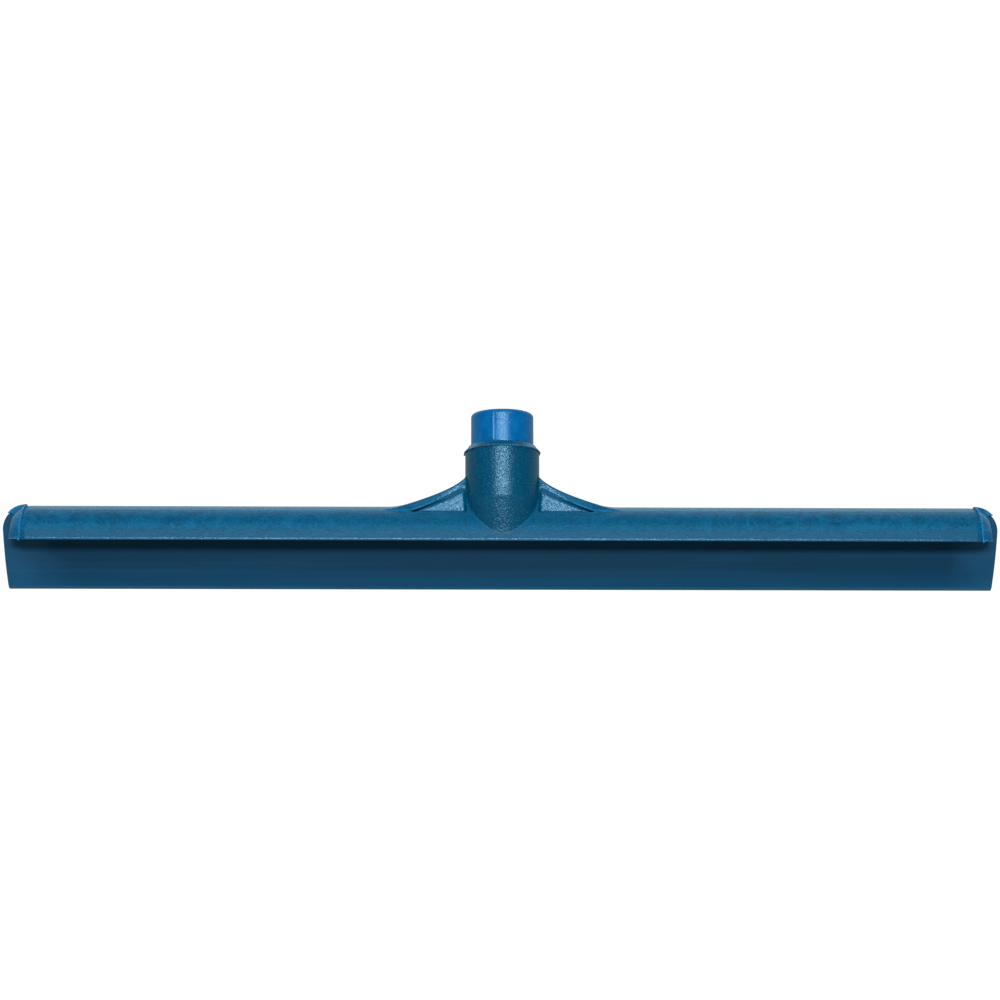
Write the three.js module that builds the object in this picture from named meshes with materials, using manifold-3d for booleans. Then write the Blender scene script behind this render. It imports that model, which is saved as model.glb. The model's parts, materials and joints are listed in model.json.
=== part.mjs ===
// Floor squeegee head: a half-round moulded frame with a tilted handle socket, two welded end caps,
// a rubber blade and a threaded insert for the handle. Millimetres, +Z up.
// Origin: middle of the blade's bottom edge. X runs along the blade, and -Y is the front.
import * as THREE from "three";
import { mergeVertices } from "three/addons/utils/BufferGeometryUtils.js";
import Module from "manifold-3d";

const wasm = await Module();
wasm.setup();

// ---------------------------------------------------------------- driving dimensions

const GAP = 0.3; // kept between pieces that touch
const ARC_STEPS = 16; // segments in a quarter turn of the shell

const LIP_Z = 30.7; // underside of the shell
const CREST_Z = 50.8; // top line of the shell
const SHELL_R = 24.2;
const SHELL_WALL = 3.4;
const SHELL_HALF_LENGTH = 291.1;
const AXIS_Z = CREST_Z - SHELL_R; // height of the shell's centre line
const BEAD_OUT = 0.5; // moulded bead along the shell's lower edge
const BEAD_HEIGHT = 1.3;

const BLADE_T = 6.0;
const BLADE_EDGE_CUT = [1.5, 1.9]; // chamfer along the wiping edge, across and up
const BLADE_TOP_Z = 44.9;
const BLADE_FOOT_HALF = 301.15; // half length at the wiping edge
const EAR_HALF = 305.0; // half length at the widest point
const EAR_CORNER_R = 14.0;
const EAR_CORNER_Z = 36.5; // height of the rounded corner's centre
const EAR_CORNER_X = EAR_HALF - EAR_CORNER_R;
const EAR_BULGE = [303.9, EAR_CORNER_Z / 2]; // control point of the ear's side

const HINGE_Z = 29.7; // line that the free part of the blade bends about
const HINGE_R = BLADE_T / 2;

const WEB_T = 3.0; // webs that grip the blade inside the shell
const WEB_BOTTOM_Z = 32.0;
const SLOT_HALF = BLADE_T / 2 + GAP;

const CAP_DEPTH = 9.5; // how far an end cap domes out past its flash
const CAP_POWER = 6; // fullness of that dome
const FLASH_OUT = 0.6; // weld flash round the joint
const FLASH_WIDTH = 0.9;
const HOOD_HALF_T = 4.4; // hood over the top of each ear
const HOOD_CORNER_R = 14.2;
const HOOD_CORNER_Z = 37.2; // height of that rounded corner's centre

const TILT = THREE.MathUtils.degToRad(10); // socket leans back
const KINK_Z = 56.5; // where the lean starts
const SOCKET_R = 22.8;
const SOCKET_SHOULDER = 27.0; // start of the chamfer, measured along the socket from the kink
const SOCKET_RIM = 32.3;
const SOCKET_RIM_WALL = 0.4;
const SOCKET_FLASH = 0.75;
const SOCKET_FLOOR = -1.5;

const INSERT_R = 19.25;
const INSERT_TOP = 52.3;
const INSERT_ROUND = 2.4;
const INSERT_MOUTH_R = 11.2;
const RIB_ANGLE = THREE.MathUtils.degToRad(-19); // from the front, seen from above
const RIB_WIDTH = 0.7;
const RIB_OUT = 0.3;

const THREAD_MAJOR_R = 9.7;
const THREAD_MINOR_R = 8.0;
const THREAD_PITCH = 5.08;
const THREAD_TURNS = 7;
const THREAD_STEPS = 12; // per turn
const THREAD_ROOT_HALF = 0.95; // half width of the groove at its bottom
const THREAD_MOUTH_HALF = 1.6; // half width of the groove at the bore

const FIN_START = [22.0, 19.0]; // top line of a fin: from the centre, above the crest
const FIN_BEND = [31.5, 9.5];
const FIN_TIP = [73.0, -2.4];
const FIN_FOOT = [13.4, 46.6]; // flared side of a fin: half thickness and height
const FIN_FLARE = [5.4, 54.4];
const FIN_UPPER = [4.8, 64.0];
const FIN_TAPER_X = 55.0; // where the foot starts to narrow towards the tip
const FIN_TIP_HALF_T = 9.0;

const POCKET_BOTTOM_Z = 47.9;
const POCKET_TOP_Z = 61.2;
const POCKET_INNER_X = [22.4, 24.5]; // at the bottom and at the top
const POCKET_TIP_X = 56.8;
const POCKET_BEND = [39.5, 54.0];
const POCKET_WEB_HALF = [6.4, 3.6]; // half of the web behind a pocket, at its bottom and top

const COLOURS = { frame: 0x1d5c86, cap: 0x2b6791, blade: 0x12395a, insert: 0x03589a };

// ---------------------------------------------------------------- solids and meshes

function solid(geometry) {
  const bare = geometry.clone();
  bare.deleteAttribute("normal");
  bare.deleteAttribute("uv");
  const merged = mergeVertices(bare, 1e-4);
  return new wasm.Manifold(
    new wasm.Mesh({
      numProp: 3,
      vertProperties: new Float32Array(merged.attributes.position.array),
      triVerts: new Uint32Array(merged.index.array),
    }),
  );
}

function mesh(name, body, colour, roughness) {
  const { vertProperties, triVerts } = body.getMesh();
  const geometry = new THREE.BufferGeometry();
  geometry.setAttribute("position", new THREE.BufferAttribute(vertProperties, 3));
  geometry.setIndex(new THREE.BufferAttribute(triVerts, 1));
  geometry.computeVertexNormals();
  const material = new THREE.MeshStandardMaterial({ color: colour, roughness, metalness: 0 });
  const piece = new THREE.Mesh(geometry, material);
  piece.name = name;
  return piece;
}

function outline(points) {
  return new THREE.Shape(points.map(([u, v]) => new THREE.Vector2(u, v)));
}

// An outline drawn in (y, z), swept along X.
function sweepX(points, x0, x1) {
  const geometry = new THREE.ExtrudeGeometry(outline(points), { depth: x1 - x0, bevelEnabled: false });
  const axes = new THREE.Matrix4().makeBasis(
    new THREE.Vector3(0, 1, 0),
    new THREE.Vector3(0, 0, 1),
    new THREE.Vector3(1, 0, 0),
  );
  return solid(geometry.applyMatrix4(axes).translate(x0, 0, 0));
}

// An outline drawn in (x, z), swept along Y.
function sweepY(points, y0, y1) {
  const geometry = new THREE.ExtrudeGeometry(outline(points), { depth: y1 - y0, bevelEnabled: false });
  return solid(geometry.rotateX(Math.PI / 2).translate(0, y1, 0));
}

// An outline drawn in (x, y), swept along Z.
function sweepZ(points, z0, z1) {
  const geometry = new THREE.ExtrudeGeometry(outline(points), { depth: z1 - z0, bevelEnabled: false });
  return solid(geometry.translate(0, 0, z0));
}

function box(x0, x1, y0, y1, z0, z1) {
  const geometry = new THREE.BoxGeometry(x1 - x0, y1 - y0, z1 - z0);
  return solid(geometry.translate((x0 + x1) / 2, (y0 + y1) / 2, (z0 + z1) / 2));
}

// A profile of [radius, height] turned round the socket's own leaning axis.
function turned(profile, segments) {
  const points = profile.map(([r, h]) => new THREE.Vector2(r, h));
  return new THREE.LatheGeometry(points, segments).rotateX(Math.PI / 2);
}

function leaning(geometry) {
  return solid(geometry.rotateX(-TILT).translate(0, 0, KINK_Z));
}

function arc(cu, cv, r, from, to, steps) {
  const points = [];
  for (let i = 0; i <= steps; i += 1) {
    const a = from + ((to - from) * i) / steps;
    points.push([cu + r * Math.cos(a), cv + r * Math.sin(a)]);
  }
  return points;
}

function curve(start, bend, end, steps) {
  const path = new THREE.QuadraticBezierCurve(
    new THREE.Vector2(...start),
    new THREE.Vector2(...bend),
    new THREE.Vector2(...end),
  );
  return path.getPoints(steps).map((p) => [p.x, p.y]);
}

function mirrored(points) {
  return points.map(([u, v]) => [-u, v]).reverse();
}

// ---------------------------------------------------------------- frame

// Half-round bar with a small bead along its lower edges.
function shellBar() {
  const lipAngle = Math.asin((LIP_Z + BEAD_HEIGHT - AXIS_Z) / SHELL_R);
  const side = arc(0, AXIS_Z, SHELL_R, Math.PI / 2, lipAngle, ARC_STEPS);
  const lipHalf = side[side.length - 1][0];
  side.push([lipHalf + BEAD_OUT, LIP_Z + BEAD_HEIGHT - BEAD_OUT]);
  side.push([lipHalf + BEAD_OUT, LIP_Z + BEAD_OUT / 2]);
  side.push([lipHalf + BEAD_OUT / 2, LIP_Z]);
  return sweepX([...side, ...mirrored(side.slice(1))], -SHELL_HALF_LENGTH, SHELL_HALF_LENGTH);
}

// Open channel between the front web and the front wall; the rear one is its mirror image.
function channelSection() {
  const inner = SHELL_R - SHELL_WALL;
  const webFace = SLOT_HALF + WEB_T;
  const from = Math.asin((LIP_Z - AXIS_Z) / inner);
  const to = Math.acos(webFace / inner);
  const roof = arc(0, AXIS_Z, inner, from, to, ARC_STEPS);
  return [
    [roof[0][0], LIP_Z - 1],
    ...roof,
    [webFace, WEB_BOTTOM_Z],
    [SLOT_HALF, WEB_BOTTOM_Z],
    [SLOT_HALF, LIP_Z - 1],
  ];
}

function finTop(steps) {
  const above = ([x, up]) => [x, CREST_Z + up];
  return curve(above(FIN_START), above(FIN_BEND), above(FIN_TIP), steps);
}

// One gusset fin, to the right of the socket. Its sides flare out towards the shell.
function fin() {
  const top = finTop(16);
  const reach = 20;
  const profile = [[8, LIP_Z + 4], [FIN_TIP[0], LIP_Z + 4], ...top.reverse(), [8, top.at(-1)[1]]];
  const foot = FIN_FOOT[0];
  const side = [[foot, LIP_Z], ...curve(FIN_FOOT, FIN_FLARE, FIN_UPPER, 10), [FIN_UPPER[0], CREST_Z + 30]];
  const taper = [
    [0, foot],
    [FIN_TAPER_X, foot],
    [FIN_TIP[0], FIN_TIP_HALF_T],
  ];
  const plan = [...taper.map(([x, y]) => [x, -y]), ...taper.reverse()];
  return sweepY(profile, -reach, reach)
    .intersect(sweepX([...side, ...mirrored(side)], 0, FIN_TIP[0] + 1))
    .intersect(sweepZ(plan, LIP_Z, CREST_Z + 30));
}

// Triangular pocket in a fin's front face. Its back wall leans, so the web behind it is thinnest at the top.
function pocket() {
  const face = [
    [POCKET_INNER_X[0], POCKET_BOTTOM_Z],
    ...curve([POCKET_TIP_X, POCKET_BOTTOM_Z], POCKET_BEND, [POCKET_INNER_X[1], POCKET_TOP_Z], 10),
  ];
  const reach = 20;
  const beforeWeb = [
    [-reach, POCKET_BOTTOM_Z - 1],
    [-POCKET_WEB_HALF[0], POCKET_BOTTOM_Z],
    [-POCKET_WEB_HALF[1], POCKET_TOP_Z],
    [-reach, POCKET_TOP_Z],
  ];
  return sweepY(face, -reach, 0).intersect(sweepX(beforeWeb, 0, FIN_TIP[0]));
}

// The shell's bar with both fins, and the four pockets, which run down into the shell's crest.
function finnedBar() {
  const rightFin = fin();
  const frontRight = pocket();
  const right = frontRight.add(frontRight.mirror([0, 1, 0]));
  return shellBar()
    .add(rightFin)
    .add(rightFin.mirror([1, 0, 0]))
    .subtract(right)
    .subtract(right.mirror([1, 0, 0]));
}

// Everything under the plane where the upright and the leaning part of the socket meet.
function underMitre(raised) {
  const reach = 60;
  const rise = reach * Math.tan(TILT / 2);
  const z = KINK_Z + raised;
  return sweepX([[-reach, 0], [reach, 0], [reach, z - rise], [-reach, z + rise]], -reach, reach);
}

function socketOutside() {
  const segments = 64;
  const overlap = 0.02;
  const upright = solid(
    new THREE.CylinderGeometry(SOCKET_R, SOCKET_R, 40, segments).rotateX(Math.PI / 2).translate(0, 0, LIP_Z + 24),
  );
  const rimR = INSERT_R + GAP + SOCKET_RIM_WALL;
  const barrel = leaning(
    turned(
      [
        [0, -12],
        [SOCKET_R, -12],
        [SOCKET_R, SOCKET_SHOULDER - 0.1],
        [SOCKET_R + SOCKET_FLASH, SOCKET_SHOULDER],
        [rimR, SOCKET_RIM],
        [0, SOCKET_RIM],
      ],
      segments,
    ),
  );
  return upright.intersect(underMitre(overlap)).add(barrel.subtract(underMitre(-overlap)));
}

function socketBore() {
  const profile = [[0, SOCKET_FLOOR], [INSERT_R + GAP, SOCKET_FLOOR], [INSERT_R + GAP, 80], [0, 80]];
  return leaning(turned(profile, 64));
}

function frame() {
  const channel = sweepX(channelSection(), -400, 400);
  const slot = box(-400, 400, -SLOT_HALF, SLOT_HALF, 0, BLADE_TOP_Z + GAP);
  return finnedBar()
    .add(socketOutside())
    .subtract(channel)
    .subtract(channel.mirror([0, 1, 0]))
    .subtract(slot)
    .subtract(socketBore());
}

// ---------------------------------------------------------------- end caps

// Low dome over the end of the shell: its depth at radius r is depth * (1 - (r / radius) ** CAP_POWER).
function dome(radius, depth, base) {
  const steps = 9;
  const profile = base.slice();
  const foot = base.at(-1)[1];
  for (let i = 1; i <= steps; i += 1) {
    const out = 1 - (1 - i / steps) ** 2;
    profile.push([radius * (1 - out) ** (1 / CAP_POWER), foot + depth * out]);
  }
  const points = profile.map(([r, h]) => new THREE.Vector2(r, h));
  const lathe = new THREE.LatheGeometry(points, 4 * ARC_STEPS).rotateZ(-Math.PI / 2);
  return solid(lathe.translate(SHELL_HALF_LENGTH + GAP, 0, AXIS_Z));
}

// Hood that covers the rounded top of the ear, in the blade's plane.
function hood() {
  const start = SHELL_HALF_LENGTH + GAP;
  const under = BLADE_TOP_Z + GAP;
  const low = Math.asin((under - HOOD_CORNER_Z) / HOOD_CORNER_R);
  const high = Math.acos((start - EAR_CORNER_X) / HOOD_CORNER_R);
  const side = [
    [start, LIP_Z],
    [start + 3, LIP_Z],
    [start + 4, under],
    ...arc(EAR_CORNER_X, HOOD_CORNER_Z, HOOD_CORNER_R, low, high, 10),
  ];
  return sweepY(side, -HOOD_HALF_T, HOOD_HALF_T);
}

// Right-hand cap, hollow on both sides of the blade and open underneath.
function endCap() {
  const flash = [[0, 0], [SHELL_R + FLASH_OUT, 0], [SHELL_R + FLASH_OUT, FLASH_WIDTH / 2], [SHELL_R, FLASH_WIDTH]];
  const webFace = SLOT_HALF + WEB_T;
  const inner = SHELL_R - SHELL_WALL;
  const hollow = dome(inner, CAP_DEPTH - SHELL_WALL, [[0, -1], [inner, -1], [inner, 0]]);
  const besideBlade = hollow.subtract(box(0, 400, -webFace, webFace, 0, 100));
  const slot = box(0, 400, -SLOT_HALF, SLOT_HALF, 0, BLADE_TOP_Z + GAP);
  return dome(SHELL_R, CAP_DEPTH, flash)
    .add(hood())
    .intersect(box(0, 400, -60, 60, LIP_Z, 100))
    .subtract(besideBlade)
    .subtract(slot);
}

// ---------------------------------------------------------------- blade

// Side view of the whole blade, right half: the ear's side and its rounded top corner.
function bladeSilhouette() {
  const top = Math.asin((BLADE_TOP_Z - EAR_CORNER_Z) / EAR_CORNER_R);
  const side = [
    ...curve([BLADE_FOOT_HALF, 0], EAR_BULGE, [EAR_HALF, EAR_CORNER_Z], 10),
    ...arc(EAR_CORNER_X, EAR_CORNER_Z, EAR_CORNER_R, 0, top, 6).slice(1),
  ];
  return sweepY([...side, ...mirrored(side)], -BLADE_T, BLADE_T);
}

function bladeRoot() {
  const r = HINGE_R + GAP;
  const half = BLADE_T / 2;
  const from = Math.acos(half / r);
  const section = [
    [half, BLADE_TOP_Z],
    [-half, BLADE_TOP_Z],
    ...arc(0, HINGE_Z, r, Math.PI - from, from, 12),
  ];
  return sweepX(section, -EAR_HALF, EAR_HALF).intersect(bladeSilhouette());
}

function bladeLip() {
  const half = BLADE_T / 2;
  const [across, up] = BLADE_EDGE_CUT;
  const section = [
    [-half, up],
    [across - half, 0],
    [half - across, 0],
    [half, up],
    ...arc(0, HINGE_Z, HINGE_R, 0, Math.PI, 16),
  ];
  return sweepX(section, -EAR_HALF, EAR_HALF).intersect(bladeSilhouette());
}

// ---------------------------------------------------------------- threaded insert

// Helical groove of the female thread, cut a little past both ends of the bore.
function threadGroove() {
  const section = [
    [THREAD_MINOR_R - 1.2, -THREAD_MOUTH_HALF - 0.4],
    [THREAD_MAJOR_R, -THREAD_ROOT_HALF],
    [THREAD_MAJOR_R, THREAD_ROOT_HALF],
    [THREAD_MINOR_R - 1.2, THREAD_MOUTH_HALF + 0.4],
  ];
  const count = THREAD_TURNS * THREAD_STEPS;
  const positions = [];
  const faces = [];
  for (let i = 0; i <= count; i += 1) {
    const turn = (2 * Math.PI * i) / THREAD_STEPS;
    for (const [r, h] of section) {
      positions.push(r * Math.cos(turn), r * Math.sin(turn), h + (THREAD_PITCH * i) / THREAD_STEPS);
    }
  }
  for (let i = 0; i < count; i += 1) {
    for (let k = 0; k < 4; k += 1) {
      const a = i * 4 + k;
      const b = i * 4 + ((k + 1) % 4);
      faces.push(a, a + 4, b, b, a + 4, b + 4);
    }
  }
  const last = count * 4;
  faces.push(0, 1, 2, 0, 2, 3, last, last + 2, last + 1, last, last + 3, last + 2);
  const geometry = new THREE.BufferGeometry();
  geometry.setAttribute("position", new THREE.Float32BufferAttribute(positions, 3));
  geometry.setIndex(faces);
  return geometry.translate(0, 0, INSERT_TOP - THREAD_TURNS * THREAD_PITCH + 2);
}

function insert() {
  const foot = SOCKET_FLOOR + GAP;
  const boreFoot = foot + 3;
  const round = arc(INSERT_R - INSERT_ROUND, INSERT_TOP - INSERT_ROUND, INSERT_ROUND, 0, Math.PI / 2, 6);
  const body = leaning(
    turned(
      [
        [0, foot],
        [INSERT_R - 1, foot],
        [INSERT_R, foot + 1],
        ...round,
        [INSERT_MOUTH_R, INSERT_TOP],
        [THREAD_MINOR_R, INSERT_TOP - (INSERT_MOUTH_R - THREAD_MINOR_R) * 0.6],
        [THREAD_MINOR_R, boreFoot],
        [0, boreFoot],
      ],
      36,
    ),
  );
  const ribLow = SOCKET_RIM + 0.5;
  const ribHigh = INSERT_TOP - INSERT_ROUND;
  const rib = new THREE.BoxGeometry(RIB_WIDTH, 2, ribHigh - ribLow)
    .translate(0, -(INSERT_R + RIB_OUT - 1), (ribLow + ribHigh) / 2)
    .rotateZ(RIB_ANGLE);
  return body.add(leaning(rib)).subtract(leaning(threadGroove()));
}

// ---------------------------------------------------------------- assembly

const head = new THREE.Group();
const cap = endCap();
head.add(mesh("frame", frame(), COLOURS.frame, 0.55));
head.add(mesh("end_cap_right", cap, COLOURS.cap, 0.5));
head.add(mesh("end_cap_left", cap.mirror([1, 0, 0]), COLOURS.cap, 0.5));
head.add(mesh("blade_root", bladeRoot(), COLOURS.blade, 0.6));
head.add(mesh("blade_lip", bladeLip(), COLOURS.blade, 0.6));
head.add(mesh("thread_insert", insert(), COLOURS.insert, 0.3));

export default head;
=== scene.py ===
import json
import math

import bpy
import numpy as np
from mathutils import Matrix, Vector


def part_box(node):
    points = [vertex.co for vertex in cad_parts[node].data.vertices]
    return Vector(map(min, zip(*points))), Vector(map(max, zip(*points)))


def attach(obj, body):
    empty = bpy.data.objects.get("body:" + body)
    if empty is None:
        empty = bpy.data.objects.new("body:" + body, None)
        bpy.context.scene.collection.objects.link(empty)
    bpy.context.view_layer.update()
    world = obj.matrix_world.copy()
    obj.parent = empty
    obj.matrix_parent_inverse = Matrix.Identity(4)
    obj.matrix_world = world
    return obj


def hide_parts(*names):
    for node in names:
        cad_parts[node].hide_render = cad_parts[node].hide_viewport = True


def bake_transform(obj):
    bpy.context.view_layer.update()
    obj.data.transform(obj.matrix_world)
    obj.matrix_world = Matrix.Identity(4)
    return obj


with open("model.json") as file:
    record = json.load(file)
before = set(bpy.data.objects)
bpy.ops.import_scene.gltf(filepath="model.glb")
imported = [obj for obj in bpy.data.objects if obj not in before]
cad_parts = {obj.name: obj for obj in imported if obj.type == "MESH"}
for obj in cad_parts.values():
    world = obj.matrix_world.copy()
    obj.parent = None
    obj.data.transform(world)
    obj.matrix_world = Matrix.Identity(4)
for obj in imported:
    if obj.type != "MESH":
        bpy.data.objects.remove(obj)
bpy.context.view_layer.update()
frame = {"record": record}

# Floor squeegee head: moulded frame, two end caps, one rubber blade and a threaded insert.
# Shapes are distance functions in millimetres, in the frame's own axes: each function gives
# how far a point is outside a solid. skin() turns one into a closed mesh, in metres.

MM = 0.001

# ---------------------------------------------------------------- places, from the frame

mounts = {m["name"]: m for m in frame["record"]["mounts"]}
frame_low, frame_high = (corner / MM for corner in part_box("frame"))
blade_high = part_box("blade_root")[1] / MM
cap_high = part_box("end_cap_right")[1] / MM

SOCKET_AXIS = Vector(mounts["handle_thread"]["axis"])
MOUTH = Vector(mounts["handle_thread"]["pos_m"]) / MM
TILT = math.atan2(SOCKET_AXIS.y, SOCKET_AXIS.z)
KINK_Z = MOUTH.z - MOUTH.y / math.tan(TILT)  # where the leaning axis leaves the upright one
INSERT_TOP = MOUTH.y / math.sin(TILT)  # heights on the socket are measured along it, from the kink

LIP_Z = frame_low.z
SHELL_HALF = frame_high.x
EAR_HALF = blade_high.x
BLADE_TOP_Z = blade_high.z
BLADE_HALF_T = blade_high.y

# ---------------------------------------------------------------- driving dimensions, mm

SHELL_R = 24.2
CREST_Z = 50.8
AXIS_Z = CREST_Z - SHELL_R
SHELL_WALL = 3.4
BEAD_TILT = 0.3  # how far the bead along the lip leans in, from its bottom to its top
BEAD_HEIGHT = 1.6
BEAD_T = 1.5
WEB_T = 3.0
WEB_BOTTOM_Z = 32.0
WEB_GAP = 0.3
SLIP = 0.02  # room round the rubber
PLAY = 0.05  # room round what is pushed in

SOCKET_R = 22.8
SOCKET_SHOULDER = 28.4
SHOULDER_SLOPE = 0.04  # the shoulder is cut a little higher in front than behind
SKIRT = [(22.2, 0.6), (23.75, -1.0)]  # the flash below the shoulder: radius, height over the shoulder
SKIRT_HALF_T = 0.24
SKIRT_THINNING = 0.08
SKIRT_RAGGED = 0.22
SKIRT_CUT_BACK = 0.4  # how much shorter the flash is behind
SOCKET_RIM = 32.3
SOCKET_RIM_R = 20.1
SOCKET_FLOOR = -1.5
SOCKET_BEND = 3.5  # how far below and above the kink the tube takes to bend

INSERT_R = 19.25
INSERT_ROUND = 2.4
INSERT_MOUTH_R = 11.2
RIB_ANGLE = math.radians(-19)
RIB_HALF_W = 0.4
RIB_HEIGHT = 0.2
THREAD_MAJOR_R = 9.7
THREAD_MINOR_R = 8.0
THREAD_PITCH = 5.08
GROOVE_HALF_W = 1.7  # of the thread's groove, where it is widest
GROOVE_FLANK = 0.85

FIN_TOP = [(22.0, CREST_Z + 19.0), (30.2, CREST_Z + 9.0), (73.0, CREST_Z - 2.4)]
FIN_SIDE = [(46.6, 13.4), (54.4, 5.4), (64.0, 4.8)]  # height, half thickness
FIN_TAPER = (55.0, 73.0, 9.0)
POCKET_TOP = [(24.5, 61.2), (39.5, 54.0), (56.8, 47.9)]
POCKET_BOTTOM_Z = 47.9
POCKET_INNER_X = (21.7, 23.5)
POCKET_WEB_HALF = (6.2, 3.8)
POCKET_SLANT = 0.978  # about the cosine of the back wall's lean

EAR_SIDE = [(0.0, 301.15), (18.25, 303.9), (36.5, EAR_HALF)]  # height, half length
EAR_CORNER_R = 14.0
EAR_CORNER_Z = 36.5
EAR_TOP_Z = 46.1  # where the ear enters its hood
EAR_POCKET_R = 12.6  # corner radius of the part inside the hood
EDGE_CUT = (1.5, 1.9)

CAP_START = 0.3  # where the dome starts, past the shell's end
CAP_DEPTH = 8.1
CAP_POWER = 8.0
WELD_OUT = 0.45  # the seam's ridge of flash: its place past the shell's end, and its radius
WELD_R = 0.42
WELD_RAGGED = 0.16
WELD_TIP = 0.42  # how much the flash grows at the crest
CORNER_BUMP = (300.8, 2.6, 3.6, 0.75)  # half length, height over the lip, half width, radius
LIP_NUB = (0.7, -0.1, 0.75)  # past the shell's end, height over the lip, radius
HOOD_HALF_T = 4.4
HOOD_R = 14.2
HOOD_Z = 37.4
HOOD_EDGE = [(26.0, 300.6), (36.0, 298.9), (48.0, 298.2)]  # height, half length


# ---------------------------------------------------------------- distance functions


def either(a, b, r):
    """Union of two solids with a fillet of radius r."""
    return np.maximum(r, np.minimum(a, b)) - np.hypot(np.maximum(r - a, 0), np.maximum(r - b, 0))


def both(a, b, r):
    """Intersection of two solids with its new edges rounded to radius r."""
    return np.minimum(-r, np.maximum(a, b)) + np.hypot(np.maximum(r + a, 0), np.maximum(r + b, 0))


def without(a, b, r):
    """Solid a with b cut out of it, its new edges rounded to radius r."""
    return both(a, -b, r)


def ease(low, high, value):
    t = np.clip((value - low) / (high - low), 0, 1)
    return t * t * (3 - 2 * t)


def over_curve(points, u, v):
    """How far v is over a quadratic curve through (u, v) control points, square to the curve."""
    (u0, v0), (u1, v1), (u2, v2) = points
    a, b = u0 - 2 * u1 + u2, 2 * (u1 - u0)
    u = np.clip(u, min(u0, u2), max(u0, u2))
    if abs(a) < 1e-9:
        t = (u - u0) / b
    else:
        t = (-b + np.sqrt(b * b + 4 * a * (u - u0)) * np.sign(b)) / (2 * a)
    height = (1 - t) ** 2 * v0 + 2 * t * (1 - t) * v1 + t * t * v2
    slope = (2 * (1 - t) * (v1 - v0) + 2 * t * (v2 - v1)) / (b + 2 * a * t)
    return (v - height) / np.sqrt(1 + slope * slope)


def wander(a, seed, waves):
    """Smooth irregular number between about -1 and 1 that repeats each full turn of angle a."""
    rng = np.random.default_rng(seed)
    total = 0.0
    for k in range(2, waves):
        wave = np.sin(k * a + rng.uniform(0, 2 * math.pi))
        total = total + wave * rng.uniform(0.3, 1) / math.sqrt(waves)
    return total


def bar(y, z):
    """Half-round shell with a slightly leaning bead along its lip, before it is hollowed."""
    shell = both(np.hypot(y, z - AXIS_Z) - SHELL_R, LIP_Z - z, 0.5)
    lip_half = math.sqrt(SHELL_R**2 - (LIP_Z + BEAD_HEIGHT - AXIS_Z) ** 2)
    lean = np.abs(y) - lip_half - BEAD_TILT * (LIP_Z + BEAD_HEIGHT - z) / BEAD_HEIGHT
    above = z - LIP_Z - BEAD_HEIGHT
    bead = both(both(lean, lip_half - BEAD_T - np.abs(y), 0.3), both(above, LIP_Z - z, 0.3), 0.3)
    return either(shell, bead, 0.35)


def fin(x, y, z):
    """Gusset fins on both sides of the socket, flaring out towards the shell."""
    x, y = np.abs(x), np.abs(y)
    top = over_curve(FIN_TOP, x, z)
    side = over_curve(FIN_SIDE, z, y)
    start, end, tip = FIN_TAPER
    plan = y - FIN_SIDE[0][1] + (FIN_SIDE[0][1] - tip) * ease(start, end, x)
    return both(both(top, np.maximum(side, plan), 1.1), x - end, 0.8)


def pockets(x, y, z):
    """Triangular pockets in the faces of the fins; their back walls lean."""
    x, y = np.abs(x), np.abs(y)
    rise = (z - POCKET_BOTTOM_Z) / (POCKET_TOP[0][1] - POCKET_BOTTOM_Z)
    inner = POCKET_INNER_X[0] + rise * (POCKET_INNER_X[1] - POCKET_INNER_X[0]) - x
    web = (POCKET_WEB_HALF[0] + rise * (POCKET_WEB_HALF[1] - POCKET_WEB_HALF[0]) - y) * POCKET_SLANT
    ceiling = both(over_curve(POCKET_TOP, x, z), web, 2.4)
    return both(both(ceiling, inner, 1.7), POCKET_BOTTOM_Z - z, 0.4)


def along_socket(x, y, z):
    """Radius and height in the leaning part of the socket, and its sideways coordinate."""
    across = y * math.cos(TILT) - (z - KINK_Z) * math.sin(TILT)
    height = y * math.sin(TILT) + (z - KINK_Z) * math.cos(TILT)
    return np.hypot(x, across), height, across


def socket_outside(x, y, z):
    """Upright tube that bends back at the kink, with a chamfered top and a thin, ragged flash."""
    radius, height, across = along_socket(x, y, z)
    lean = ease(-SOCKET_BEND, SOCKET_BEND, z - KINK_Z + y * math.tan(TILT / 2))
    tube = (np.hypot(x, y) - SOCKET_R) * (1 - lean) + (radius - SOCKET_R) * lean
    shoulder = SOCKET_SHOULDER - SHOULDER_SLOPE * across
    run, drop = SOCKET_R - SOCKET_RIM_R, SOCKET_RIM - shoulder
    cone = ((radius - SOCKET_R) * drop + (height - shoulder) * run) / np.hypot(run, drop)
    body = both(both(tube, cone, 0.2), height - SOCKET_RIM, 0.8)
    ragged = 1 + SKIRT_RAGGED * wander(np.arctan2(across, x + 0 * across), 5, 26)
    ragged = ragged * (1 - SKIRT_CUT_BACK * ease(8, 22, across))
    (start_r, start_h), (end_r, end_h) = SKIRT
    run, fall = (end_r - start_r) * ragged, (end_h - start_h) * ragged
    out, up = radius - start_r, height - shoulder - start_h
    share = np.clip((out * run + up * fall) / (run * run + fall * fall), 0, 1)
    skirt = np.hypot(out - share * run, up - share * fall) - SKIRT_HALF_T + SKIRT_THINNING * share
    return either(body, skirt, 0.25)


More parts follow.
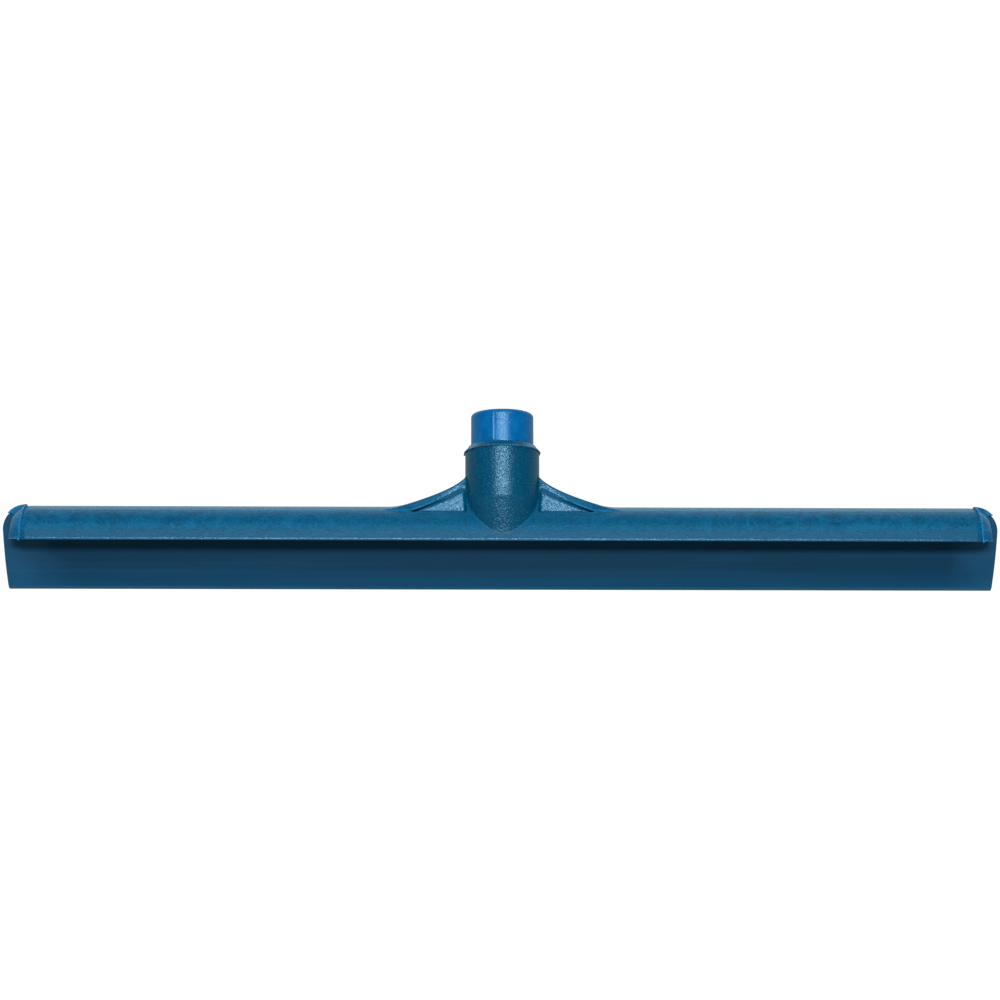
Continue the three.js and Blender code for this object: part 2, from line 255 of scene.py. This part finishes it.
def frame_shape(x, y, z):
    """The whole moulding: shell, fins, pockets and socket, hollowed from below and bored."""
    fins = either(bar(y, z), fin(x, y, z), 1.6)
    pocketed = without(fins, pockets(x, y, z), 0.35 + 1.5 * ease(51, 58, z))
    fillet = 0.12 + 1.9 * ease(38, 49, z) - 1.4 * ease(56, 63, z)
    body = either(pocketed, both(socket_outside(x, y, z), LIP_Z + 3 - z, 0.5), fillet)
    web_face = BLADE_HALF_T + WEB_T
    inside = np.hypot(y, z - AXIS_Z) - (SHELL_R - SHELL_WALL)
    channel = both(inside, web_face - np.abs(y), 1.2)
    under_webs = np.maximum(np.abs(y) - web_face - WEB_GAP, z - WEB_BOTTOM_Z)
    slot = np.maximum(np.abs(y) - BLADE_HALF_T - SLIP, z - BLADE_TOP_Z - PLAY)
    radius, height, _ = along_socket(x, y, z)
    bore = np.maximum(radius - INSERT_R - PLAY, SOCKET_FLOOR - height)
    body = without(body, np.minimum(channel, under_webs), 0.5)
    body = without(without(body, slot, 0.3), bore, 0.25)
    return np.maximum(body, np.abs(x) - SHELL_HALF)


def cap_dome(out, radius):
    """A full, low dome: out is how far past the shell's end, radius is from the shell's axis."""
    share = np.clip(radius / SHELL_R, 0, 1.2)
    steep = CAP_DEPTH * CAP_POWER * share ** (CAP_POWER - 1) / SHELL_R
    dome = (out - CAP_START - CAP_DEPTH * (1 - share**CAP_POWER)) / np.sqrt(1 + steep**2)
    return np.maximum(dome, radius - SHELL_R)


def cap_hood(along, y, z):
    """Hood over the blade's ear and a collar round it: along is how far from the middle."""
    start = along - (EAR_HALF - EAR_CORNER_R)
    hood = np.maximum(np.hypot(start, z - HOOD_Z) - HOOD_R, EAR_TOP_Z - z)
    hood = both(hood, np.abs(y) - HOOD_HALF_T, 0.9)
    edge = over_curve(HOOD_EDGE, z, along)
    collar = both(both(edge, np.abs(y) - BLADE_HALF_T - 1.1, 0.5), z - BLADE_TOP_Z - 2, 0.5)
    return either(hood, collar, 0.5)


def cap_flash(out, radius, y, z, seed):
    """Ragged ridge of flash at the seam, tallest at the crest, and a bead along the lip."""
    angle = np.arctan2(z - AXIS_Z, y)
    ragged = wander(angle, seed, 40)
    crest = np.exp(-(((angle - math.pi / 2) / 0.06) ** 2))
    lean = out - WELD_OUT - 0.25 * ragged
    weld = np.hypot(lean * 0.8, radius - SHELL_R - 0.05)
    weld = weld - WELD_R - WELD_RAGGED * ragged - WELD_TIP * crest
    bead = np.hypot(radius - SHELL_R + 0.25, z - LIP_Z - 0.85) - 0.6
    return either(weld, np.maximum(bead, out - 3.2), 0.3)


def corner_bump(along, y, z):
    """Small lump at the lower outer corner, beside the ear."""
    bump_x, bump_z, bump_y, bump_r = CORNER_BUMP
    flat = np.hypot(along - bump_x, z - LIP_Z - bump_z) * 0.8
    return np.hypot(flat, np.abs(y) - bump_y) - bump_r


def lip_nub(out, y, z):
    """Small lump of flash under the lip, where the seam ends."""
    nub_out, nub_z, nub_r = LIP_NUB
    lip_half = math.sqrt(SHELL_R**2 - (LIP_Z + 0.8 - AXIS_Z) ** 2)
    return np.hypot(np.hypot(out - nub_out, np.abs(y) - lip_half), z - LIP_Z - nub_z) - nub_r


def cap_shape(side):
    """End cap on one side: dome, hood and flash, hollowed and slotted for the blade's ear."""

    def distance(x, y, z):
        along = x * side
        out = along - SHELL_HALF
        radius = np.hypot(y, z - AXIS_Z)
        shell = either(cap_dome(out, radius), cap_hood(along, y, z), 1.6)
        shell = either(shell, corner_bump(along, y, z), 0.4)
        body = either(shell, cap_flash(out, radius, y, z, 11 + side), 0.35)
        body = either(both(body, LIP_Z - z, 0.4), lip_nub(out, y, z), 0.4)
        inner = SHELL_R - SHELL_WALL
        share = np.clip(radius / inner, 0, 1.3)
        hollow = out - (CAP_DEPTH - SHELL_WALL) * (1 - share**CAP_POWER)
        hollow = both(np.maximum(hollow, radius - inner), BLADE_HALF_T + WEB_T - np.abs(y), 1.0)
        ear = np.hypot(along - (EAR_HALF - EAR_CORNER_R), z - EAR_CORNER_Z) - EAR_POCKET_R
        slot = np.maximum(np.abs(y) - BLADE_HALF_T - SLIP, np.minimum(z - EAR_TOP_Z, ear))
        body = without(without(body, hollow, 0.4), slot, 0.25)
        return np.maximum(np.maximum(body, np.abs(y) - cap_high.y), SLIP - out)

    return distance


def blade_shape(x, y, z):
    """Rubber strip with rounded ears and a narrow wiping edge."""
    x, y = np.abs(x), np.abs(y)
    side = over_curve(EAR_SIDE, z, x)
    corner = np.hypot(np.maximum(x - EAR_HALF + EAR_CORNER_R, 0), np.maximum(z - EAR_CORNER_Z, 0))
    outline = np.maximum(side, corner - EAR_CORNER_R)
    tongue = np.maximum(corner - EAR_POCKET_R + PLAY, SHELL_HALF + 0.1 - x)
    top_z = np.where(x > SHELL_HALF + 0.1, EAR_TOP_Z + PLAY, BLADE_TOP_Z)
    top = np.minimum(z - top_z, tongue)
    across, up = EDGE_CUT
    cut = ((y - BLADE_HALF_T) * up + (up - z) * across) / math.hypot(up, across)
    section = both(both(y - BLADE_HALF_T, cut, 0.25), np.maximum(-z, top), 0.2)
    return both(section, outline, 0.4)


def insert_shape(x, across, height):
    """Threaded collar, in the socket's own axes: x, across, and height along the socket."""
    radius = np.hypot(x, across)
    floor = SOCKET_FLOOR + 0.1
    outside = both(radius - INSERT_R, height - INSERT_TOP, INSERT_ROUND)
    turned = x * math.cos(RIB_ANGLE) + across * math.sin(RIB_ANGLE)
    rib = both(np.abs(turned) - RIB_HALF_W, radius - INSERT_R - RIB_HEIGHT, 0.15)
    rib = np.maximum(np.maximum(rib, height - INSERT_TOP + INSERT_ROUND), across)
    rib = np.maximum(rib, SOCKET_RIM + 0.6 - height)
    body = np.maximum(either(outside, rib, 0.3), floor - height)
    turn = height / THREAD_PITCH - np.arctan2(across, x + 0 * across) / (2 * math.pi)
    off_groove = np.abs(turn - np.floor(turn) - 0.5) * THREAD_PITCH
    share = np.clip((GROOVE_HALF_W - off_groove) / GROOVE_FLANK, 0, 1)
    groove = (THREAD_MAJOR_R - THREAD_MINOR_R) * share
    bore = (radius - THREAD_MINOR_R - groove) * 0.8
    mouth = (radius - INSERT_MOUTH_R + (INSERT_TOP - height) * 1.6) * 0.53
    return without(body, both(either(bore, mouth, 0.2), floor + 3 - height, 0.5), 0.4)


# ---------------------------------------------------------------- meshes

WEAR_AND_SHADE_DEPTH = 1.2  # how far under and over the surface the edges and crevices are felt for


def steps(*stretches):
    """Grid values: each stretch is (from, to, step), and each starts where the last one ends."""
    values = [np.array([stretches[0][0]])]
    for low, high, step in stretches:
        values.append(np.linspace(low, high, max(2, round((high - low) / step) + 1))[1:])
    return np.concatenate(values)


def gradient(distance, p, h=0.02):
    rows = []
    for axis in range(3):
        ahead, behind = p.copy(), p.copy()
        ahead[:, axis] += h
        behind[:, axis] -= h
        rows.append((distance(*ahead.T) - distance(*behind.T)) / (2 * h))
    return np.stack(rows, axis=1)


def pulled(distance, p, reach):
    """Points moved onto the surface where distance is 0, by a few Newton steps."""
    for _ in range(4):
        slope = gradient(distance, p)
        step = distance(*p.T) / np.maximum((slope * slope).sum(1), 0.05)
        p = p - np.clip(step, -reach, reach)[:, None] * slope
    return p


def crossings(value, grids, cells):
    """One point in each crossed cell: the mean of where the surface crosses the cell's edges."""
    total, hits = np.zeros((len(cells), 3)), np.zeros(len(cells))
    for start in np.ndindex(2, 2, 2):
        for axis in range(3):
            if start[axis]:
                continue
            near = cells + start
            far = near.copy()
            far[:, axis] += 1
            a, b = value[tuple(near.T)], value[tuple(far.T)]
            crossed = (a < 0) != (b < 0)
            share = np.where(crossed, a / np.where(crossed, a - b, 1), 0)
            place = np.stack([g[i] for g, i in zip(grids, near.T)], axis=1)
            place[:, axis] += share * (grids[axis][far[:, axis]] - grids[axis][near[:, axis]])
            total += place * crossed[:, None]
            hits += crossed
    return total / hits[:, None]


def quads(inside, number):
    """A face round each grid line that the surface crosses, with its normal pointing out."""
    faces = []
    for axis in range(3):
        u, v = (axis + 1) % 3, (axis + 2) % 3
        low = [slice(None)] * 3
        high = [slice(None)] * 3
        low[axis], high[axis] = slice(None, -1), slice(1, None)
        for side in (u, v):
            low[side] = high[side] = slice(1, -1)
        start, end = inside[tuple(low)], inside[tuple(high)]
        at = np.argwhere(start != end)
        leaving = start[tuple(at.T)]
        at[:, u] += 1
        at[:, v] += 1
        ring = []
        for du, dv in ((1, 1), (0, 1), (0, 0), (1, 0)):
            cell = at.copy()
            cell[:, u] -= du
            cell[:, v] -= dv
            ring.append(number[tuple(cell.T)])
        ring = np.stack(ring, axis=1)
        faces.append(np.where(leaving[:, None], ring, ring[:, ::-1]))
    return np.concatenate(faces)


def thin_and_deep(distance, points):
    """How near each point is to a thin edge, and how deep in a crevice, from 0 to 1."""
    normal = gradient(distance, points)
    normal /= np.maximum(np.linalg.norm(normal, axis=1), 1e-6)[:, None]
    thin = 1 + distance(*(points - normal * WEAR_AND_SHADE_DEPTH).T) / WEAR_AND_SHADE_DEPTH
    deep = 1 - distance(*(points + normal * WEAR_AND_SHADE_DEPTH).T) / WEAR_AND_SHADE_DEPTH
    return thin, deep


def as_mesh(name, points, faces):
    mesh = bpy.data.meshes.new(name)
    mesh.vertices.add(len(points))
    mesh.vertices.foreach_set("co", (points * MM).astype(np.float32).ravel())
    mesh.loops.add(faces.size)
    mesh.loops.foreach_set("vertex_index", faces.astype(np.int32).ravel())
    mesh.polygons.add(len(faces))
    mesh.polygons.foreach_set("loop_start", np.arange(0, faces.size, 4, dtype=np.int32))
    mesh.update(calc_edges=True)
    mesh.validate()
    mesh.shade_smooth()
    return mesh


def skin(name, distance, grids, place=None):
    """Closed mesh of the surface distance = 0, with the two attributes that the materials use."""
    x, y, z = (g.reshape([-1 if i == k else 1 for k in range(3)]) for i, g in enumerate(grids))
    value = np.array(np.broadcast_to(distance(x, y, z), [len(g) for g in grids]), np.float32)
    inside = value < 0
    count = sum(
        inside[tuple(slice(s, s + n - 1) for s, n in zip(start, inside.shape))].astype(np.int8)
        for start in np.ndindex(2, 2, 2)
    )
    cells = np.argwhere((count > 0) & (count < 8))
    number = np.zeros(count.shape, np.int32)
    number[tuple(cells.T)] = np.arange(len(cells))
    finest = min(np.diff(g).min() for g in grids)
    points = pulled(distance, crossings(value, grids, cells), finest * 0.5)
    thin, deep = thin_and_deep(distance, points)
    if place is not None:
        points = place(points)
    mesh = as_mesh(name, points, quads(inside, number))
    for label, values in (("edge", thin), ("crevice", deep)):
        attribute = mesh.attributes.new(label, "FLOAT", "POINT")
        attribute.data.foreach_set("value", np.clip(values, 0, 1).astype(np.float32))
    piece = bpy.data.objects.new(name, mesh)
    bpy.context.scene.collection.objects.link(piece)
    return piece


def mirrored(values):
    return np.concatenate([-values[::-1], values[1:]])


def frame_piece():
    x = mirrored(steps((0, 27, 0.6), (27, 76, 0.8), (76, SHELL_HALF + 6, 6.1)))
    y = steps((-25.1, 25.1, 0.6), (25.1, frame_high.y + 1.2, 1.0))
    low = steps((LIP_Z - 0.8, 33.2, 0.4), (33.2, 44.4, 0.8), (44.4, 63.5, 0.5))
    high = steps((63.5, 80.0, 0.9), (80.0, frame_high.z + 0.8, 0.3))
    return skin("frame_moulding", frame_shape, (x, y, np.concatenate([low, high[1:]])))


def cap_piece(name, side):
    out = steps((SHELL_HALF - 0.5, EAR_HALF - 1, 0.38))
    x = out if side > 0 else -out[::-1]
    z = steps((LIP_Z - 1.3, CREST_Z + 1.6, 0.38))
    return skin(name, cap_shape(side), (x, steps((-25.8, 25.8, 0.38)), z))


def blade_piece():
    x = mirrored(steps((0, 282, 6), (282, EAR_HALF + 1, 0.6)))
    z = steps((-0.5, 3.5, 0.25), (3.5, EAR_CORNER_Z + EAR_POCKET_R + 0.6, 0.7))
    return skin("rubber_blade", blade_shape, (x, steps((-3.6, 3.6, 0.4)), z))


def insert_piece():
    """The insert is made upright and then leant back with the socket."""

    def lean(p):
        x, across, height = p.T
        y = across * math.cos(TILT) + height * math.sin(TILT)
        z = KINK_Z - across * math.sin(TILT) + height * math.cos(TILT)
        return np.stack([x, y, z], axis=1)

    round_grid = steps((-20.3, 20.3, 0.5))
    height = steps((SOCKET_FLOOR - 0.8, INSERT_TOP + 0.8, 0.5))
    return skin("threaded_insert", insert_shape, (round_grid, round_grid, height), lean)


# ---------------------------------------------------------------- materials

# Painted shade: the darker tone painted on the socket tube, in place of the top light falling less on
# its near-upright faces.
TUBE_SHADE_COLOUR = (0.001, 0.074, 0.12, 1)
# Dust tone on the blade's ends, also used as painted floor light along its wiping edge.
DUST_AND_FLOOR_LIGHT_COLOUR = (0.04, 0.15, 0.26, 1)
ROOM_COLOUR = (0.7, 0.95, 1, 1)
FLOOR_GLOW = (0.74, 0.92, 1, 1)


def toned(colour, factor, lift=0.0):
    """The colour made darker or brighter by a factor, and lifted by the same amount all over."""
    return [factor * c + lift for c in colour[:3]] + [1]


class Nodes:
    """A material's node tree, with short calls for the few kinds of node that are used here."""

    def __init__(self, name):
        self.material = bpy.data.materials.new(name)
        self.material.use_nodes = True
        self.tree = self.material.node_tree
        self.shader = self.tree.nodes["Principled BSDF"]
        self.place = self.tree.nodes.new("ShaderNodeTexCoord").outputs["Object"]

    def node(self, kind, inputs=(), **settings):
        made = self.tree.nodes.new("ShaderNode" + kind)
        for key, value in settings.items():
            setattr(made, key, value)
        for key, value in dict(inputs).items():
            self.put(made.inputs[key], value)
        return made

    def put(self, socket, value):
        if isinstance(value, bpy.types.NodeSocket):
            self.tree.links.new(value, socket)
        else:
            socket.default_value = value

    def stretched(self, scale):
        return self.node("Mapping", {"Vector": self.place, "Scale": scale}).outputs[0]

    def noise(self, scale, detail=3.0, rough=0.55, distortion=0.0, vector=None):
        inputs = {"Vector": vector or self.place, "Scale": scale, "Detail": detail}
        inputs.update({"Roughness": rough, "Distortion": distortion})
        return self.node("TexNoise", inputs).outputs["Fac"]

    def remap(self, value, low, high, to_low=0.0, to_high=1.0):
        inputs = {"Value": value, "From Min": low, "From Max": high}
        inputs.update({"To Min": to_low, "To Max": to_high})
        return self.node("MapRange", inputs, interpolation_type="SMOOTHSTEP").outputs[0]

    def maths(self, operation, a, b=0.0):
        return self.node("Math", {0: a, 1: b}, operation=operation).outputs[0]

    def blend(self, share, a, b, kind="MIX"):
        made = self.node("Mix", data_type="RGBA", blend_type=kind)
        for socket, value in zip((made.inputs[0], made.inputs[6], made.inputs[7]), (share, a, b)):
            self.put(socket, value)
        return made.outputs[2]

    def mesh_value(self, name):
        return self.node("Attribute", attribute_name=name).outputs["Fac"]

    def bump(self, height, depth, distance, below=None):
        inputs = {"Height": height, "Strength": depth, "Distance": distance}
        if below is not None:
            inputs["Normal"] = below
        return self.node("Bump", inputs).outputs[0]

    def finish(self, colour, roughness, normal, ior=1.49, **fixed):
        self.put(self.shader.inputs["Base Color"], colour)
        self.put(self.shader.inputs["Roughness"], roughness)
        self.put(self.shader.inputs["Normal"], normal)
        self.shader.inputs["IOR"].default_value = ior
        for key, value in fixed.items():
            self.shader.inputs[key.replace("_", " ")].default_value = value
        return self.material


def socket_flow_and_shade(n, colour, swirl, x, y, z, teal):
    """Teal flow marks that fade out along the shell, and painted shade darkening the socket tube."""
    far = n.maths("ABSOLUTE", x)
    squares = n.maths("ADD", n.maths("MULTIPLY", x, x), n.maths("MULTIPLY", y, y))
    from_axis = n.maths("SQRT", squares)
    upright = n.remap(from_axis, (SOCKET_R + 0.15) * MM, (SOCKET_R + 0.4) * MM, 1.0, 0.0)
    above = n.maths("MULTIPLY", n.remap(z, 0.052, 0.058), n.remap(far, 0.0235, 0.0255, 1.0, 0.0))
    ragged = n.maths("ADD", far, n.remap(swirl, 0.3, 0.7, -0.05, 0.05))
    colour = n.blend(n.remap(ragged, 0.02, 0.17, 0.75, 0.0), colour, teal)
    # Painted shade on the tube, strongest on its upright lower part.
    shade_strength = n.remap(z, 0.048, 0.054, 0.95, 0.75)
    tube = n.maths("MULTIPLY", n.maths("MAXIMUM", upright, above), shade_strength)
    return n.blend(tube, colour, TUBE_SHADE_COLOUR)


def moulded(name, deep, pale, teal=None):
    """Polypropylene with swirled flow marks, a fine sparkling grain with painted glints, pale worn
    edges, a painted highlight along the bead, and painted shade in crevices, above the bead and, with a
    teal, on the socket tube.
    """
    bright = toned(pale, 1.7, 0.01)
    n = Nodes(name)
    swirl = n.noise(70, 5.0, 0.62, 2.2)
    mottle = n.noise(330, 4.0, 0.7, 1.2)
    speck = n.noise(1100, 2.0, 0.7)
    cloud = n.maths("ADD", n.maths("MULTIPLY", swirl, 0.55), n.maths("MULTIPLY", mottle, 0.45))
    colour = n.blend(n.remap(cloud, 0.36, 0.66), deep, pale)
    x, y, z = n.node("SeparateXYZ", {0: n.place}).outputs
    if teal:
        colour = socket_flow_and_shade(n, colour, swirl, x, y, z, teal)
    # Painted shade: the shell's colour is darkened along its lower rows, towards the bead.
    shaded_lip_band = n.remap(z, (LIP_Z + 9) * MM, (LIP_Z + 2) * MM, 0.0, 0.85)
    colour = n.blend(shaded_lip_band, colour, toned(deep, 0.85))
    colour = n.blend(n.remap(speck, 0.52, 0.72, 0.0, 0.6), colour, pale)
    # Painted glints: tiny bright specks in the colour, for the sparkle of the grain.
    colour = n.blend(n.remap(n.noise(1700, 1.0), 0.64, 0.74, 0.0, 0.7), colour, bright)
    colour = n.blend(n.remap(speck, 0.48, 0.3, 0.0, 0.6), colour, toned(deep, 0.7))
    edge = n.remap(n.mesh_value("edge"), 0.25, 0.9, 0.0, 0.55)
    worn = n.maths("MULTIPLY", edge, n.remap(mottle, 0.35, 0.6, 0.35, 1.0))
    # Painted highlight: a faint pale line along the bead at the foot of the lip, added to the worn
    # edges.
    lip = n.remap(z, (LIP_Z + 1.8) * MM, (LIP_Z + 1.2) * MM, 0.0, 0.08)
    worn = n.maths("MAXIMUM", worn, n.maths("MULTIPLY", lip, n.remap(swirl, 0.35, 0.6, 0.3, 1.0)))
    # Worn edges and the painted bead highlight, both in the bright tone.
    colour = n.blend(worn, colour, bright)
    # Painted shade: darker in crevices and hollows.
    crevice = n.remap(n.mesh_value("crevice"), 0.15, 0.9, 0.0, 0.3)
    colour = n.blend(crevice, colour, toned(deep, 0.45))
    rough = n.maths("ADD", n.remap(mottle, 0.3, 0.7, 0.2, 0.29), n.remap(speck, 0.4, 0.7, -0.04, 0.05))
    above_bead = n.remap(z, (LIP_Z + 1.2) * MM, (LIP_Z + 1.9) * MM, 0.0, 0.32)
    rough = n.maths("ADD", rough, n.maths("MULTIPLY", shaded_lip_band, above_bead))
    wave = n.bump(n.noise(190, 3.0, 0.5, 0.8), 0.22, 0.0005)
    grain = n.bump(n.noise(780, 2.0, 0.5, 0.8), 1.0, 0.00022, wave)
    return n.finish(colour, rough, grain)


def rubber(name, low, high):
    """Dark rubber with faint bands along its length and a dusty bloom, painted shade darkening it higher
    up, and painted floor light along its wiping edge.
    """
    n = Nodes(name)
    bands = n.noise(1.0, 4.0, 0.6, 0.3, n.stretched((2.0, 1.0, 260.0)))
    smear = n.noise(1.0, 4.0, 0.6, 0.2, n.stretched((5.0, 1.0, 120.0)))
    fine = n.noise(2600, 3.0, 0.6)
    x, _, z = n.node("SeparateXYZ", {0: n.place}).outputs
    # Painted shade: the colour runs from the low tone at the wiping edge to the darker high tone higher
    # up, in place of the lip's shadow.
    rise = n.maths("ADD", z, n.remap(bands, 0.3, 0.7, -0.004, 0.004))
    colour = n.blend(n.remap(rise, 0.002, 0.02), low, high)
    pale = toned(low, 2.0, 0.002)
    colour = n.blend(n.remap(smear, 0.5, 0.8, 0.0, 0.22), colour, pale)
    far = n.maths("ADD", n.maths("ABSOLUTE", x), n.remap(n.noise(35, 3.0), 0.3, 0.7, -0.008, 0.008))
    colour = n.blend(n.remap(far, 0.265, 0.308, 0.0, 0.42), colour, DUST_AND_FLOOR_LIGHT_COLOUR)
    # Painted floor light: a pale band along the wiping edge, in the dust tone.
    floor_light_band = n.maths("MULTIPLY", n.remap(z, 0.0026, 0.0012, 0.0, 0.6), n.remap(smear, 0.3, 0.6, 0.5, 1.0))
    colour = n.blend(floor_light_band, colour, DUST_AND_FLOOR_LIGHT_COLOUR)
    colour = n.blend(n.remap(n.mesh_value("edge"), 0.3, 0.9, 0.0, 0.3), colour, pale)
    rough = n.maths("ADD", n.remap(smear, 0.3, 0.7, 0.36, 0.46), n.remap(fine, 0.3, 0.7, -0.03, 0.03))
    normal = n.bump(bands, 0.15, 0.0004)
    normal = n.bump(fine, 0.3, 0.00006, normal)
    return n.finish(colour, rough, normal, 1.5, Specular_IOR_Level=0.18)


def glossy(name, deep, pale):
    """Bright glossy plastic with a faint orange-peel waviness and handling haze."""
    n = Nodes(name)
    haze = n.noise(160, 4.0, 0.6, 0.8)
    fine = n.noise(1300, 3.0, 0.65)
    colour = n.blend(n.remap(haze, 0.35, 0.7), deep, pale)
    edge = n.remap(n.mesh_value("edge"), 0.3, 0.9, 0.0, 0.35)
    colour = n.blend(edge, colour, toned(pale, 1.4, 0.005))
    # Painted shade: darker in crevices, as where the insert sits in the socket's rim.
    crevice = n.remap(n.mesh_value("crevice"), 0.2, 0.9, 0.0, 0.4)
    colour = n.blend(crevice, colour, toned(deep, 0.4))
    rough = n.maths("ADD", n.remap(haze, 0.3, 0.7, 0.2, 0.27), n.remap(fine, 0.4, 0.7, -0.02, 0.06))
    normal = n.bump(n.noise(420, 3.0, 0.6), 0.3, 0.00008)
    normal = n.bump(fine, 0.7, 0.00012, normal)
    return n.finish(colour, rough, normal, 1.5)


# ---------------------------------------------------------------- camera, floor and light


def camera():
    """Level camera in front of the blade, a touch to the left, with the length filling its view."""
    data = bpy.data.cameras.new("camera")
    made = bpy.data.objects.new("camera", data)
    bpy.context.scene.collection.objects.link(made)
    distance, margin = 1.5, 1.0048
    yaw, roll = math.radians(1.2), math.radians(0.17)
    data.sensor_width = 36.0
    data.lens = 36.0 * (distance - BLADE_HALF_T * MM) / (2 * EAR_HALF * MM * margin)
    aim = Vector((-0.0014, 0, 0.0551))
    made.location = aim + distance * Vector((-math.sin(yaw), -math.cos(yaw), 0))
    made.rotation_euler = (math.pi / 2, -roll, -yaw)
    bpy.context.scene.camera = made


def panel(name, place, aim, size, power, colour=(1, 1, 1)):
    data = bpy.data.lights.new(name, "AREA")
    data.shape = "RECTANGLE"
    data.size, data.size_y = size
    data.energy = power
    data.color = colour
    made = bpy.data.objects.new(name, data)
    made.location = place
    made.visible_camera = False
    made.rotation_euler = (Vector(aim) - Vector(place)).to_track_quat("-Z", "Y").to_euler()
    bpy.context.scene.collection.objects.link(made)


def studio():
    """White to look at, but lit from behind and above, and dim in front of the object and beside it."""
    world = bpy.data.worlds.new("studio")
    bpy.context.scene.world = world
    world.use_nodes = True
    tree = world.node_tree
    background = tree.nodes["Background"]
    background.inputs["Color"].default_value = ROOM_COLOUR
    seen = tree.nodes.new("ShaderNodeBackground")
    seen.inputs["Color"].default_value = (1, 1, 1, 1)
    seen.inputs["Strength"].default_value = 1.05
    direction = tree.nodes.new("ShaderNodeTexCoord").outputs["Generated"]
    split = tree.nodes.new("ShaderNodeSeparateXYZ")
    tree.links.new(direction, split.inputs[0])

    def ramp(axis, low, high, dim):
        made = tree.nodes.new("ShaderNodeMapRange")
        tree.links.new(split.outputs[axis], made.inputs["Value"])
        for key, value in (("From Min", low), ("From Max", high), ("To Min", dim), ("To Max", 1.0)):
            made.inputs[key].default_value = value
        return made.outputs[0]

    total = tree.nodes.new("ShaderNodeMath")
    total.operation = "MULTIPLY"
    tree.links.new(ramp("Y", 0.0, 0.85, 0.07), total.inputs[0])
    tree.links.new(ramp("Z", -0.05, 0.45, 0.3), total.inputs[1])
    tree.links.new(total.outputs[0], background.inputs["Strength"])
    rays = tree.nodes.new("ShaderNodeLightPath")
    mix = tree.nodes.new("ShaderNodeMixShader")
    tree.links.new(rays.outputs["Is Camera Ray"], mix.inputs[0])
    tree.links.new(background.outputs[0], mix.inputs[1])
    tree.links.new(seen.outputs[0], mix.inputs[2])
    tree.links.new(mix.outputs[0], tree.nodes["World Output"].inputs["Surface"])


def floor():
    """Pale floor well below the head, which hangs on its handle thread."""
    reach, depth = 14.0, -1.7
    mesh = bpy.data.meshes.new("floor")
    corners = [(x * reach, y * reach, depth) for x, y in ((-1, -1), (1, -1), (1, 1), (-1, 1))]
    mesh.from_pydata(corners, [], [(0, 1, 2, 3)])
    made = bpy.data.objects.new("floor", mesh)
    bpy.context.scene.collection.objects.link(made)
    n = Nodes("floor")
    n.shader.inputs["Emission Color"].default_value = FLOOR_GLOW
    n.shader.inputs["Emission Strength"].default_value = 0.42
    tone = n.blend(n.noise(3.0, 2.0), (0.32, 0.32, 0.32, 1), (0.36, 0.36, 0.36, 1))
    mesh.materials.append(n.finish(tone, 0.8, n.bump(n.noise(40.0), 0.05, 0.001)))
    white = n.node("Emission", {"Color": (1, 1, 1, 1), "Strength": 1.02}).outputs[0]
    seen = n.node("LightPath").outputs["Is Camera Ray"]
    both_ways = n.node("MixShader", {0: seen, 1: n.shader.outputs[0], 2: white}).outputs[0]
    n.put(n.tree.nodes["Material Output"].inputs["Surface"], both_ways)


# ---------------------------------------------------------------- assembly


def fit(piece, material, slot, body, *nodes):
    piece.data.materials.append(material)
    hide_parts(*nodes)
    if body:
        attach(piece, body)
    return piece


bpy.context.scene.view_settings.view_transform = "Standard"
camera()
studio()
floor()
panel("front_box", (-0.02, -2.05, 0.72), (0, 0, 0.06), (1.35, 0.36), 34, (0.42, 0.76, 1))
panel("high_box", (0, -1.25, 1.66), (0, 0, 0.06), (2.4, 0.9), 10, (0.3, 0.76, 1))

plastic = moulded(
    "plastic",
    deep=(0.0006, 0.092, 0.167, 1),
    pale=(0.005, 0.178, 0.31, 1),
    teal=(0.0004, 0.125, 0.215, 1),
)
cap_plastic = moulded("cap_plastic", deep=(0.004, 0.13, 0.25, 1), pale=(0.02, 0.225, 0.4, 1))
insert_finish = glossy("insert_plastic", deep=(0.0, 0.155, 0.37, 1), pale=(0.0001, 0.2, 0.45, 1))
# high is the darker tone painted higher up the blade as the shade under the lip.
blade_finish = rubber("blade_rubber", low=(0.001, 0.062, 0.121, 1), high=(0.001, 0.037, 0.072, 1))

fit(frame_piece(), plastic, "moulding", "head", "frame")
fit(cap_piece("cap_right", 1), cap_plastic, "end_cap", "head", "end_cap_right")
fit(cap_piece("cap_left", -1), cap_plastic, "end_cap", "head", "end_cap_left")
fit(insert_piece(), insert_finish, "insert", "head", "thread_insert")
blade = fit(blade_piece(), blade_finish, "blade", None, "blade_root", "blade_lip")
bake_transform(blade)
